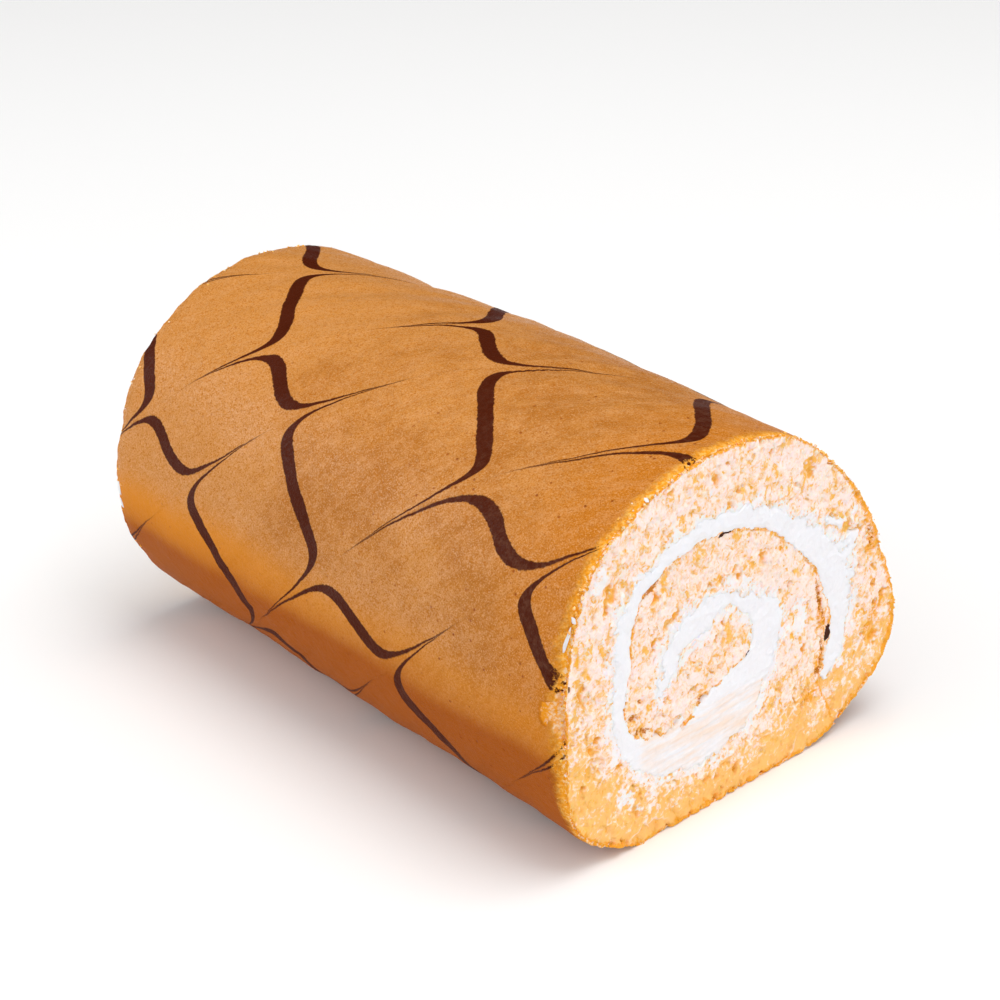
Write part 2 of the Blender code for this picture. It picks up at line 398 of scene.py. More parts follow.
class Graph:
    """The node tree of one material with a Principled shader."""

    def __init__(self, name: str) -> None:
        """Make the material and find its shader."""
        self.material = bpy.data.materials.new(name)
        self.material.use_nodes = True
        self.tree = self.material.node_tree
        self.shader = self.tree.nodes["Principled BSDF"]

    def node(self, kind: str, settings: dict[str, Any] | None = None,
             values: dict[Any, Any] | None = None) -> bpy.types.Node:
        """Add a node.

        Args:
            kind: The node's type.
            settings: Its properties, set before the sockets.
            values: A value or a Signal for each named or numbered input.

        Returns:
            The node.
        """
        node = self.tree.nodes.new(kind)
        for key, value in (settings or {}).items():
            setattr(node, key, value)
        for key, value in (values or {}).items():
            self.put(node.inputs[key], value)
        return node

    def put(self, socket: bpy.types.NodeSocket, value: Any) -> None:
        """Link a Signal to a socket, or set the socket's own value."""
        if isinstance(value, Signal):
            self.tree.links.new(value.socket, socket)
        elif isinstance(value, tuple) and len(value) == 3 and socket.type == "RGBA":
            socket.default_value = (*value, 1.0)
        else:
            socket.default_value = value

    def math(self, operation: str, *values: Any) -> Signal:
        """A Math node on one or two values."""
        node = self.node("ShaderNodeMath", {"operation": operation}, dict(enumerate(values)))
        return Signal(self, node.outputs[0])

    def attribute(self, name: str) -> Signal:
        """A number that the mesh carries at its vertices."""
        node = self.node("ShaderNodeAttribute", {"attribute_name": name})
        return Signal(self, node.outputs["Fac"])

    def place(self) -> Signal:
        """Object coordinates."""
        return Signal(self, self.node("ShaderNodeTexCoord").outputs["Object"])

    def stretched(self, scale: tuple[float, float, float]) -> Signal:
        """Object coordinates times a scale along each axis."""
        node = self.node("ShaderNodeVectorMath", {"operation": "MULTIPLY"}, {0: self.place(), 1: scale})
        return Signal(self, node.outputs[0])

    def warped(self, size: float, amount: float) -> Signal:
        """Object coordinates pushed about by noise, up to half an amount in metres each way."""
        noise_node = self.node("ShaderNodeTexNoise", None, {
            "Vector": self.place(), "Scale": 1.0 / size, "Detail": 2.0})
        push = self.node("ShaderNodeVectorMath", {"operation": "MULTIPLY_ADD"}, {
            0: Signal(self, noise_node.outputs["Color"]), 1: (amount, amount, amount), 2: self.place()})
        return Signal(self, push.outputs[0])

    def noise(self, size: float, detail: float = 2.0, roughness: float = 0.5,
              vector: Signal | None = None, distortion: float = 0.0) -> Signal:
        """Noise from 0 to 1 with features of a size in metres."""
        node = self.node("ShaderNodeTexNoise", None, {
            "Vector": vector or self.place(), "Scale": 1.0 / size, "Detail": detail,
            "Roughness": roughness, "Distortion": distortion})
        return Signal(self, node.outputs["Fac"])

    def cells(self, size: float, vector: Signal | None = None) -> Signal:
        """Distance from the centres of Voronoi cells of a size in metres."""
        node = self.node("ShaderNodeTexVoronoi", {"feature": "F1"},
                         {"Vector": vector or self.place(), "Scale": 1.0 / size})
        return Signal(self, node.outputs["Distance"])

    def mix(self, factor: Any, low: Any, high: Any) -> Signal:
        """A mix of two colours."""
        node = self.node("ShaderNodeMix", {"data_type": "RGBA"}, {0: factor, 6: low, 7: high})
        return Signal(self, node.outputs[2])

    def paint(self, colour: Any, *coats: tuple[Any, Any]) -> Any:
        """A colour with coats laid over it in turn, each a factor and the coat's colour."""
        for factor, coat in coats:
            colour = self.mix(factor, colour, coat)
        return colour

    def bump(self, height: Any, distance: float) -> Signal:
        """A bumped normal from a height of 0 to 1 that stands for a distance in metres."""
        values = {"Strength": 1.0, "Distance": distance, "Height": height}
        return Signal(self, self.node("ShaderNodeBump", None, values).outputs["Normal"])

    def finish(self, colour: Any, roughness: Any, normal: Any, **constants: Any) -> bpy.types.Material:
        """Feed the shader.

        Args:
            colour: Base colour.
            roughness: Roughness.
            normal: Normal, from a bump.
            **constants: Values of further sockets, with _ for a blank in the name.

        Returns:
            The material.
        """
        self.put(self.shader.inputs["Base Color"], colour)
        self.put(self.shader.inputs["Roughness"], roughness)
        self.put(self.shader.inputs["Normal"], normal)
        for key, value in constants.items():
            self.put(self.shader.inputs[key.replace("_", " ")], value)
        return self.material


@dataclass(frozen=True)
class Stripe:
    """A piped line of chocolate, and how far it strays per millimetre at its two ends."""

    place: float
    stray_left: float = 0.0
    stray_right: float = 0.0


@dataclass(frozen=True)
class Drag:
    """A line along which a point was drawn through the stripes; reaches are to its two sides."""

    place: float
    pull: float
    reach_left: float = 1.4
    reach_right: float = 1.4


@dataclass(frozen=True)
class SkinFinish:
    """Browned skin with stripes of chocolate, feathered by dragging a point across them.

    The stripes run across one diagonal of the sheet and the drags along the other, in millimetres.
    """

    caramel: Colour = (0.430, 0.151, 0.021)
    pale: Colour = (0.600, 0.250, 0.056)
    amber: Colour = (0.565, 0.178, 0.009)
    # Painted reflected light: bright orange on the lower sides.
    painted_bounce_light: Colour = (0.710, 0.240, 0.010)
    # Painted shade: the dark orange of the skin's underside.
    painted_underside_shade: Colour = (0.360, 0.080, 0.003)
    speck: Colour = (0.430, 0.120, 0.006)
    pinhole: Colour = (0.340, 0.066, 0.003)
    # Paler colour for fibre streaks and grains; on the grains it is partly painted glints.
    light: Colour = (0.680, 0.330, 0.125)
    frayed: Colour = (0.620, 0.190, 0.008)
    chocolate: Colour = (0.070, 0.009, 0.001)
    # Painted sheen: the greyish colour of the chocolate towards the front.
    painted_chocolate_sheen: Colour = (0.120, 0.040, 0.020)
    rim: Colour = (0.900, 0.340, 0.016)
    crumb: Colour = (0.980, 0.520, 0.110)
    grain: Colour = (0.950, 0.660, 0.420)
    stripes: tuple[Stripe, ...] = (
        Stripe(-88.0), Stripe(-42.0), Stripe(4.2, 0.0, 0.12), Stripe(49.8, 0.07, -0.065),
        Stripe(97.9, 0.07, -0.04), Stripe(134.2, 0.04, 0.0), Stripe(182.5), Stripe(228.0),
    )
    steady: tuple[float, float] = (-50.0, -15.0)     # between these the stripes keep their place
    stripe_width: float = 3.0
    hairline: float = 0.25
    drift: float = 0.05
    drift_origin: float = 75.0
    drags: tuple[Drag, ...] = (
        Drag(-178.0, 28.0), Drag(-149.0, -28.0), Drag(-120.0, 28.0), Drag(-90.6, -26.0, 1.7, 1.2),
        Drag(-59.0, 22.0, 1.3, 1.3), Drag(-37.6, -28.0, 1.6, 1.2), Drag(-3.1, 36.0, 1.2, 1.9),
        Drag(22.4, -27.0, 1.8, 1.1), Drag(55.6, 30.0), Drag(84.0, -28.0), Drag(113.0, 28.0),
    )

    def pattern(self, graph: Graph) -> tuple[Signal, Signal, Signal]:
        """The chocolate's mask and the lie of the drag lines.

        Args:
            graph: The material's graph.

        Returns:
            The mask from 0 to 1, the distance from the nearest drag line in millimetres, and a
            vector in metres whose first number grows slowly along the drag lines.
        """
        along = graph.attribute("along") * 1000.0
        around = graph.attribute("around") * 1000.0
        wobble = graph.noise(11.0 * MM, 2.0) - 0.5
        ragged = graph.noise(0.9 * MM, 3.0, 0.6) - 0.5
        stripe_way = (around - along) * math.sqrt(0.5) + 1.5 * wobble + 0.8 * ragged
        drag_way = (around + along) * math.sqrt(0.5) + 1.0 * wobble + 0.4 * ragged
        drag_way = drag_way + self.drift * (stripe_way - self.drift_origin)
        shift: Any = 0.0
        slope: Any = 0.0
        gap: Any = 1000.0
        nearness: Any = 0.0
        for drag in self.drags:
            off = drag_way - drag.place
            near = 1.0 / ((off / drag.reach_right).most(off / -drag.reach_left) + 1.0)
            share = near * near
            shift = share * drag.pull + shift
            slope = share * near * (4.0 * abs(drag.pull) / (drag.reach_left + drag.reach_right)) + slope
            nearness = share.most(nearness)
            gap = abs(off).least(gap)
        steep = (slope * slope + 1.0).root()
        left = (drag_way - self.steady[0]).least(0.0)
        right = (drag_way - self.steady[1]).most(0.0)
        carried = stripe_way - shift
        offset: Any = 1000.0
        for stripe in self.stripes:
            place = left * stripe.stray_left + right * stripe.stray_right + stripe.place
            offset = abs(carried - place).least(offset)
        width = self.stripe_width / 2 / steep + self.hairline * (1.15 - nearness)
        fibres = graph.node("ShaderNodeCombineXYZ", None, {
            "X": (around - along) * (0.35 * MM), "Y": (around + along) * MM}).outputs["Vector"]
        return (offset / steep - width).step(0.14, -0.14), gap, Signal(graph, fibres)

    def crust(self, graph: Graph, marks: dict[str, Signal]) -> Signal:
        """Colour of the skin without its chocolate and its torn parts.

        Args:
            graph: The material's graph.
            marks: The attributes and patterns that the colour follows.

        Returns:
            The colour.
        """
        along, low, broad, blotch, texture = (
            marks[name] for name in ("along", "low", "broad", "blotch", "texture"))
        far = along.step(-70.0, -140.0) * 0.45
        streak = graph.noise(3.4 * MM, 3.0, 0.6, marks["fibres"])
        # Painted reflected light in a band on the lower sides, stronger towards the back.
        lit = low.step(-0.1, 0.5) * (along.step(-50.0, -130.0) * 0.5 + 0.4)
        return graph.paint(
            self.caramel,
            ((broad + blotch * 0.6 + far).step(0.55, 1.05), self.pale),
            (marks["front"].step(-22.0, 6.0) * 0.85, self.amber),
            ((streak + texture * 0.3).step(0.60, 0.85) * 0.35, self.light),
            # Paler grains: partly the skin's own grain, partly painted glints.
            (texture.step(0.60, 0.44) * 0.75, self.light),
            (texture.step(0.60, 0.76) * 0.85, self.speck),
            (lit, self.painted_bounce_light),
            # Painted shade, darkest underneath.
            (low.step(0.35, 0.85) * 0.92, self.painted_underside_shade),
            (marks["pinhole"], self.pinhole),
        )

    def open_edge(self, graph: Graph, marks: dict[str, Signal], colour: Signal) -> Signal:
        """Colour with the crumb that shows at the front edge and in the torn patch.

        Args:
            graph: The material's graph.
            marks: The attributes and patterns that the colour follows.
            colour: Colour of the whole skin.

        Returns:
            The colour.
        """
        along, torn, blotch = (marks[name] for name in ("along", "torn", "blotch"))
        speckle = graph.noise(0.8 * MM, 3.0, 0.6).step(0.42, 0.62)
        grains = (along + 3.0 * speckle + 1.5 * blotch).step(2.3, 3.4)
        pale = (blotch * 0.6 + speckle * 0.2 + along * 0.04).step(0.15, 0.45)
        fray = torn.step(0.05, 0.25) * torn.step(0.85, 0.5) * along.step(-2.2, -3.4)
        return graph.paint(
            colour,
            (marks["edge"], graph.mix(speckle, self.rim, self.crumb)),
            (grains, self.grain),
            (torn.step(0.1, 0.8), graph.mix(pale, self.rim, self.grain)),
            (fray * 0.9, self.frayed),
        )

    def material(self) -> bpy.types.Material:
        """Make the material."""
        graph = Graph("skin")
        chocolate, drag_gap, fibres = self.pattern(graph)
        along = graph.attribute("along") * 1000.0
        torn = graph.attribute("torn")
        broad = graph.noise(24.0 * MM, 3.0)
        blotch = graph.noise(4.0 * MM, 4.0, 0.6)
        paper = graph.noise(0.9 * MM, 4.0, 0.65, distortion=0.6)
        grain = graph.noise(0.34 * MM, 2.0, 0.6)
        fibre = graph.noise(0.75 * MM, 3.0, 0.6, fibres)
        pinhole = graph.cells(2.9 * MM).step(0.14, 0.06) * graph.noise(6.0 * MM).step(0.30, 0.55)
        pinhole = pinhole * (along.step(-90.0, -25.0) * 0.55 + 0.35)
        edge = (along + 4.0 * blotch + 2.6 * paper).step(-0.2, 2.4)
        marks = {
            "along": along, "low": graph.attribute("low"), "torn": torn, "broad": broad,
            "blotch": blotch, "texture": grain * 0.75 + paper * 0.25 + fibre * 0.2,
            "fibres": fibres, "pinhole": pinhole, "front": along + 12.0 * broad + 6.0 * blotch,
            "edge": edge,
        }
        colour = self.open_edge(graph, marks, self.crust(graph, marks))
        loose = torn.step(0.1, 0.4).most(edge.step(0.25, 0.7))
        bits = graph.noise(0.9 * MM, 3.0, 0.6).step(0.50, 0.60)
        # Patches towards the front where the chocolate gets its painted sheen.
        painted_sheen_spots = graph.noise(1.5 * MM, 4.0, 0.7).step(0.4, 0.8) * along.step(-80.0, -15.0)
        dark = graph.mix(painted_sheen_spots, self.chocolate, self.painted_chocolate_sheen)
        colour = graph.mix(chocolate * (1.0 - loose * (1.0 - bits)), colour, dark)
        furrow = drag_gap.step(0.45, 0.0)
        height = paper * 0.5 + grain * 0.4 + blotch * 1.3 + fibre * 0.2 - furrow * 0.2 - pinhole * 0.4
        height = height + chocolate * 0.12 + torn.most(edge) * graph.noise(0.9 * MM, 3.0) * 0.7
        sheen = (broad * 0.9 + 0.12) * (marks["texture"].step(0.68, 0.44) * 1.5 + 0.1)
        sheen = sheen * marks["low"].step(0.45, 0.05) * (1.0 - marks["front"].step(-30.0, 0.0) * 0.6)
        sheen = sheen * (1.0 - chocolate * 0.6) * (1.0 - torn.most(edge))
        roughness = 0.46 + paper * 0.14 + torn * 0.3
        return graph.finish(colour, roughness, graph.bump(height, 0.55 * MM), IOR=1.16,
                            Specular_Tint=(1.0, 0.78, 0.6, 1.0), Coat_Weight=sheen,
                            Coat_Roughness=0.30, Coat_IOR=1.38)


@dataclass(frozen=True)
class CrumbFinish:
    """Open crumb of a cut sponge: pale walls, hollows painted orange as shade, and the browned skin at
    its edges.
    """

    pale: Colour = (0.975, 0.795, 0.740)
    peach: Colour = (0.970, 0.670, 0.500)
    warm: Colour = (0.970, 0.530, 0.170)
    # Orange painted into the hollows and pores: painted shade in the recesses.
    hollow: Colour = (0.972, 0.525, 0.135)
    deep: Colour = (0.950, 0.425, 0.045)
    browned: Colour = (0.900, 0.370, 0.030)
    scorched: Colour = (0.560, 0.190, 0.020)
    chocolate: Colour = (0.060, 0.016, 0.008)
    cream: Colour = (0.880, 0.840, 0.840)

    def material(self, name: str) -> bpy.types.Material:
        """Make the material under a name."""
        graph = Graph(name)
        pit = graph.attribute("pit")
        grain = graph.noise(0.50 * MM, 2.0, 0.6)
        mottle = graph.noise(1.25 * MM, 3.0, 0.6, distortion=0.8)
        patch = graph.noise(4.5 * MM, 3.0, 0.6)
        rough = mottle * 0.65 + grain * 0.35
        bent = graph.warped(0.8 * MM, 1.2 * MM)
        fine_pores = graph.cells(1.2 * MM, bent).step(0.40, 0.15)
        fine_pores = fine_pores * (patch + mottle * 0.7).step(0.72, 0.98)
        blobs = graph.noise(1.9 * MM, 4.0, 0.6, graph.stretched((1.0, 1.1, 0.7)), 0.5)
        pores = fine_pores.most((blobs + patch * 0.3).step(0.70, 0.82))
        rim = graph.attribute("rim") + patch * 0.3 - 0.15
        smear = graph.attribute("smear")
        warmth = graph.attribute("warmth") + (patch - 0.5) * 1.8 + (mottle - 0.5) * 2.4
        # Pits, pores and sunk places between the lumps, which get painted shade.
        hollow = pit.most(pores * 0.7) + graph.attribute("sunk") * 0.30 + (rough - 0.5) * 1.2
        crust = rim * 0.5 + pit * 0.5 + (rough - 0.5) * 2.2
        scorch = graph.attribute("scorch")
        burnt = (scorch * 0.9 + (rough - 0.5) * 4.0).step(0.40, 1.10) * scorch.step(0.1, 0.5)
        creamy = smear * 0.75 - (rough - 0.5) * 2.4 - pores * 0.3
        cocoa = graph.attribute("cocoa") + (rough - 0.5) * 1.2
        colour = graph.paint(
            self.pale,
            ((rough + patch * 0.35).step(0.58, 0.80), self.peach),
            (warmth.step(0.15, 0.80), self.warm),
            # Painted shade in the hollows, deeper orange where deeper.
            (hollow.step(0.15, 0.70), self.hollow),
            (hollow.step(0.60, 1.10), self.deep),
            (graph.attribute("lip") * 0.8, self.pale),
            ((rim + (rough - 0.5) * 2.6).step(0.25, 1.0), self.browned),
            (crust.step(0.62, 0.95), self.scorched),
            (burnt, self.scorched),
            (creamy.step(0.10, 0.75) * smear.step(0.0, 0.3), self.cream),
            (cocoa.step(0.4, 0.6), self.chocolate),
        )
        height = 1.0 - mottle * 0.5 - pores * 0.5
        return graph.finish(colour, 0.85, graph.bump(height, 0.22 * MM), Subsurface_Weight=0.4,
                            Subsurface_Radius=(1.0, 0.35, 0.12), Subsurface_Scale=1.2 * MM,
                            Specular_IOR_Level=0.15)


@dataclass(frozen=True)
class CreamFinish:
    """Whipped cream, dull where it is torn and satin where a blade passed over it."""

    white: Colour = (0.855, 0.850, 0.885)
    warm: Colour = (0.900, 0.690, 0.540)

    def material(self, name: str) -> bpy.types.Material:
        """Make the material under a name."""
        graph = Graph(name)
        streak = graph.noise(0.9 * MM, 4.0, 0.6, graph.stretched((1.0, 0.06, 1.0)))
        soft = graph.noise(1.6 * MM, 4.0, 0.6)
        smear = graph.attribute("smear")
        broad = graph.noise(5.0 * MM, 3.0, 0.6, graph.stretched((1.0, 0.3, 1.0)))
        stain = smear - 0.45 + (broad - 0.5) * 1.8 + (streak - 0.5) * 0.9
        colour = graph.mix(stain.step(0.0, 0.7) * 0.8, self.white, self.warm)
        height = soft * (1.0 - smear * 0.6) + smear * streak
        roughness = 0.45 + 0.15 * soft
        return graph.finish(colour, roughness, graph.bump(height, 0.3 * MM), Subsurface_Weight=0.25,
                            Subsurface_Radius=(1.0, 0.8, 0.7), Subsurface_Scale=1.5 * MM,
                            Specular_IOR_Level=0.3)


# ---------------------------------------------------------------- meshes

def keep_in_box(places: np.ndarray) -> np.ndarray:
    """Places moved no further than the box of the solids."""
    low, high = (np.array(corner) for corner in SOLID_BOX)
    return np.clip(places, low, high)


def set_attributes(mesh: bpy.types.Mesh, values: dict[str, np.ndarray]) -> None:
    """Store a number at every vertex under each name."""
    for name, numbers in values.items():
        attribute = mesh.attributes.new(name, "FLOAT", "POINT")
        attribute.data.foreach_set("value", np.ascontiguousarray(numbers, np.float32))


def vertex_places(bm: bmesh.types.BMesh) -> np.ndarray:
    """Places of all vertices as rows."""
    return np.array([vert.co for vert in bm.verts])


def move_vertices(bm: bmesh.types.BMesh, places: np.ndarray) -> None:
    """Put every vertex at its row's place."""
    for vert, place in zip(bm.verts, places):
        vert.co = place


def publish(bm: bmesh.types.BMesh, name: str, material: bpy.types.Material, slot: Slot,
            attributes: dict[str, np.ndarray], sharp: float = 60.0) -> bpy.types.Object:
    """Turn a bmesh into a finished piece that rides on the roll.

    Args:
        bm: The modelled shape, freed afterwards.
        name: The piece's name.
        material: Its material.
        slot: The solid that the piece stands in for, which is hidden.
        attributes: Numbers for its vertices, by name.
        sharp: Edges that turn by more than these degrees are creased.

    Returns:
        The piece.
    """
    mesh = bpy.data.meshes.new(name)
    bm.to_mesh(mesh)
    bm.free()
    set_attributes(mesh, attributes)
    mesh.materials.append(material)
    mesh.shade_smooth()
    mesh.set_sharp_from_angle(angle=math.radians(sharp))
    piece = bpy.data.objects.new(name, mesh)
    bpy.context.scene.collection.objects.link(piece)
    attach(piece, "root")
    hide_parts(slot.value)
    triangles = sum(len(face.vertices) - 2 for face in mesh.polygons)
    LOG.info("%s: %d triangles", name, triangles)
    return piece


@dataclass
class Skin:
    """The browned skin: a thin shell from the seam right round to the seam."""

    form: RollForm
    thickness: float = 0.6 * MM
    columns: int = 420
    rows: int = 98
    row_shares: tuple[float, ...] = (0.0, 0.04, 0.905, 1.0)          # of the rows, from the back
    row_places: tuple[float, ...] = (0.0, 1.4 * MM, 146.6 * MM, 150.0 * MM)
    seam_gap: float = 0.7            # degrees left open on either side of the seam
    reference_radius: float = 45.75 * MM
    ragged: float = 0.55 * MM
    tear: tuple[tuple[float, float], ...] = (
        (174.8, 1.8), (176.0, 3.8), (178.6, 4.9), (181.0, 5.3), (182.8, 4.5), (183.2, 3.7),
        (181.4, 2.8), (182.8, 2.2), (184.6, 1.5), (186.6, 0.9), (186.6, -2.0), (170.6, -2.0),
        (171.6, 0.7), (173.0, 1.2),
    )                                # the torn patch: degrees, and millimetres behind the front

    def torn(self, degrees: np.ndarray, behind: np.ndarray) -> np.ndarray:
        """How much of the skin is torn away, 0 to 1, beside the front face."""
        turn = math.radians(1.0) * self.reference_radius
        corners = np.array(self.tear) * (turn, MM)
        flat = np.stack((degrees * turn, behind), axis=-1)
        solid = np.column_stack((flat, np.zeros(len(flat))))
        edge = distance_to_line(flat, np.vstack((corners, corners[:1])))
        edge = np.where(inside_polygon(flat, corners), -edge, edge)
        close = edge < 3.0 * MM
        solid = solid[close]
        edge[close] += 0.7 * MM * perlin(solid, 1.6 * MM) + 0.35 * MM * perlin(solid, 0.7 * MM)
        return smoothstep(0.35 * MM, -0.35 * MM, edge)

    def build(self, material: bpy.types.Material) -> bpy.types.Object:
        """Build and dress the skin.

        Args:
            material: The skin's material.

        Returns:
            The piece.
        """
        form = self.form
        bm = bmesh.new()
        bmesh.ops.create_grid(bm, x_segments=self.rows, y_segments=self.columns, size=0.5)
        degrees, behind = self.sheet_places(bm)
        near = self.torn(degrees, behind) > 0.01
        faces = [face for face in bm.faces if any(near[vert.index] for vert in face.verts)]
        edges = list({edge for face in faces for edge in face.edges})
        bmesh.ops.subdivide_edges(bm, edges=edges, cuts=2, use_grid_fill=True)
        degrees, behind = self.sheet_places(bm)
        x = form.length / 2 - behind
        torn = self.torn(degrees, behind)
        lift = self.relief(degrees, x, torn)
        outside = form.place(degrees, x, lift)
        inside = form.place(degrees, x, lift - self.thickness)
        shift = self.fraying(degrees, x)
        outside[:, 0] += shift
        inside[:, 0] += shift
        round_way = np.radians(degrees - 90.0) * self.reference_radius
        values = {"along": -behind, "around": round_way, "low": self.lowness(outside), "torn": torn}
        self.double(bm, outside, inside, values)
        return publish(bm, "sponge_skin", material, Slot.SPONGE, {}, 50.0)

    def sheet_places(self, bm: bmesh.types.BMesh) -> tuple[np.ndarray, np.ndarray]:
        """Angles round the section and places behind the front face of a flat sheet's vertices."""
        flat = vertex_places(bm) + 0.5
        span = 360.0 - 2 * self.seam_gap
        degrees = self.form.seam_degrees() + self.seam_gap + span * flat[:, 1]
        return degrees, self.form.length - np.interp(flat[:, 0], self.row_shares, self.row_places)

    @staticmethod
    def double(bm: bmesh.types.BMesh, outside: np.ndarray, inside: np.ndarray,
               values: dict[str, np.ndarray]) -> None:
        """Make a closed shell of a flat sheet.

        Args:
            bm: The sheet.
            outside: Places of its vertices on the outer side.
            inside: Places of its vertices on the inner side.
            values: Numbers for its vertices, by name.
        """
        source = bm.verts.layers.int.new("source")
        layers = {name: bm.verts.layers.float.new(name) for name in values}
        for index, vert in enumerate(bm.verts):
            vert[source] = index
            for name, layer in layers.items():
                vert[layer] = values[name][index]
        outer = set(bm.verts)
        bmesh.ops.extrude_face_region(bm, geom=bm.faces[:], use_keep_orig=True)
        rows = np.array([vert[source] for vert in bm.verts])
        is_outer = np.array([vert in outer for vert in bm.verts])
        places = np.where(is_outer[:, None], outside[rows], inside[rows])
        bm.verts.layers.int.remove(source)
        move_vertices(bm, keep_in_box(places))
        bmesh.ops.recalc_face_normals(bm, faces=bm.faces)

    def relief(self, degrees: np.ndarray, x: np.ndarray, torn: np.ndarray) -> np.ndarray:
        """Height of the skin above the roll's plain form: folds, torn patch and crumbly ends.

        Args:
            degrees: Angles round the section.
            x: Places along the roll.
            torn: How much of the skin is torn away.

        Returns:
            Heights in metres.
        """
        behind = self.form.length / 2 - x
        plain = self.form.place(degrees, x)
        lift = 0.10 * MM * perlin(plain, 7.0 * MM, 3.0) + 0.06 * MM * perlin(plain, 2.6 * MM, 9.0)
        lift += self.folds(degrees, behind)
        rough = 0.5 * perlin(plain, 1.3 * MM, 5.0) + 0.3 * perlin(plain, 0.6 * MM, 2.0)
        lift += torn * MM * (0.8 * rough - 0.45)
        rolled = np.exp(-((torn - 0.30) / 0.22) ** 2) * (torn > 0.01)
        lift += 0.40 * MM * rolled * smoothstep(2.5 * MM, 4.0 * MM, behind)
        lift = np.minimum(lift, 0.4 * MM)
        end_gap = np.minimum(behind, self.form.length - behind)
        crumbly = smoothstep(3.2 * MM, 0.3 * MM, end_gap + 1.3 * MM * perlin(plain, 2.5 * MM, 12.0))
        grains = 0.40 * perlin(plain, 1.2 * MM, 7.0) + 0.22 * perlin(plain, 0.7 * MM, 8.0)
        return lift + crumbly * MM * (grains - 0.08) * np.where(x > 0, 1.0, 0.4)

    def fraying(self, degrees: np.ndarray, x: np.ndarray) -> np.ndarray:
        """How far the skin's ragged ends lie from a straight cut, along X."""
        ring = np.stack((np.radians(degrees) * self.reference_radius, np.zeros(len(x)), x), axis=-1)
        ends = smoothstep(1.3 * MM, 0.0, self.form.length / 2 - np.abs(x)) * np.where(x > 0, 1.0, 0.3)
        rag = self.ragged * (perlin(ring, 3.2 * MM) + 0.8 * perlin(ring, 1.1 * MM) - 0.9)
        return np.sign(x) * ends * rag

    def folds(self, degrees: np.ndarray, behind: np.ndarray) -> np.ndarray:
        """Soft folds that the baking paper left, long along the drag lines, as heights in metres."""
        around = np.radians(degrees - 90.0) * self.reference_radius
        way = np.stack((0.22 * (around + behind), 1.0 * (around - behind), 0.2 * behind), axis=-1)
        soft = perlin(way, 9.0 * MM, 21.0)
        sharp = 1.0 - np.minimum(1.0, 7.0 * np.abs(perlin(way, 13.0 * MM, 33.0)))
        creased = smoothstep(-0.15, 0.2, perlin(way, 31.0 * MM, 5.0))
        return 0.50 * MM * soft - 0.30 * MM * sharp * creased

    def lowness(self, places: np.ndarray) -> np.ndarray:
        """How far down the skin lies, 0 above and 1 underneath; it sets where the lower sides are
        painted with reflected light and with shade.
        """
        height = places[:, 2] + 3.0 * MM * perlin(places, 30.0 * MM)
        # The upper, softer half of the band where the lower sides get painted light and shade.
        amber = smoothstep(50.0 * MM, 33.0 * MM, height)
        return 0.5 * amber + 0.5 * smoothstep(35.0 * MM, 23.0 * MM, height)


def form_offset(form: RollForm) -> np.ndarray:
    """From the centre of the section to the roll's frame."""
    return np.array((0.0, form.axis_across, form.axis_height))


def face_grid(form: RollForm, cell: float) -> bmesh.types.BMesh:
    """A flat grid across the whole section, in the plane X = 0, about the section's centre."""
    reach = max(form.front_radii + form.back_radii) * MM
    count = math.ceil(2 * reach / cell)
    bm = bmesh.new()
    bmesh.ops.create_grid(bm, x_segments=count, y_segments=count, size=reach,
                          matrix=Matrix(((0, 0, 1, 0), (1, 0, 0, 0), (0, 1, 0, 0), (0, 0, 0, 1))))
    return bm


def face_centres(bm: bmesh.types.BMesh) -> np.ndarray:
    """Centres of all faces of a cut face's grid, as places on the section."""
    return np.array([face.calc_center_median() for face in bm.faces])[:, 1:]


def keep_faces(bm: bmesh.types.BMesh, keep: np.ndarray) -> None:
    """Delete every face that isn't to be kept."""
    drop = [face for face, kept in zip(bm.faces, keep) if not kept]
    bmesh.ops.delete(bm, geom=drop, context="FACES")


def close_behind(bm: bmesh.types.BMesh, form: RollForm, x: float) -> None:
    """Give an open cut face its walls, back to the roll's middle, and close it there.

    Args:
        bm: The cut face.
        form: The roll's form.
        x: Where the cut face is.
    """
    border = [edge for edge in bm.edges if edge.is_boundary]
    for share in (0.5, 0.0):
        grown = bmesh.ops.extrude_edge_only(bm, edges=border)["geom"]
        border = [item for item in grown if isinstance(item, bmesh.types.BMEdge)]
        border = [edge for edge in border if edge.is_boundary]
        verts = list({vert for edge in border for vert in edge.verts})
        places = np.array([vert.co for vert in verts]) - form_offset(form)
        flat = places[:, 1:]
        limit = form.outline(x * share, 1.3 * MM)(flat)
        scale = np.minimum(1.0, limit / np.linalg.norm(flat, axis=1))
        places = in_space(flat * scale[:, None], x * share) + form_offset(form)
        for vert, place in zip(verts, places):
            vert.co = place
    bmesh.ops.triangle_fill(bm, edges=border, use_beauty=False)


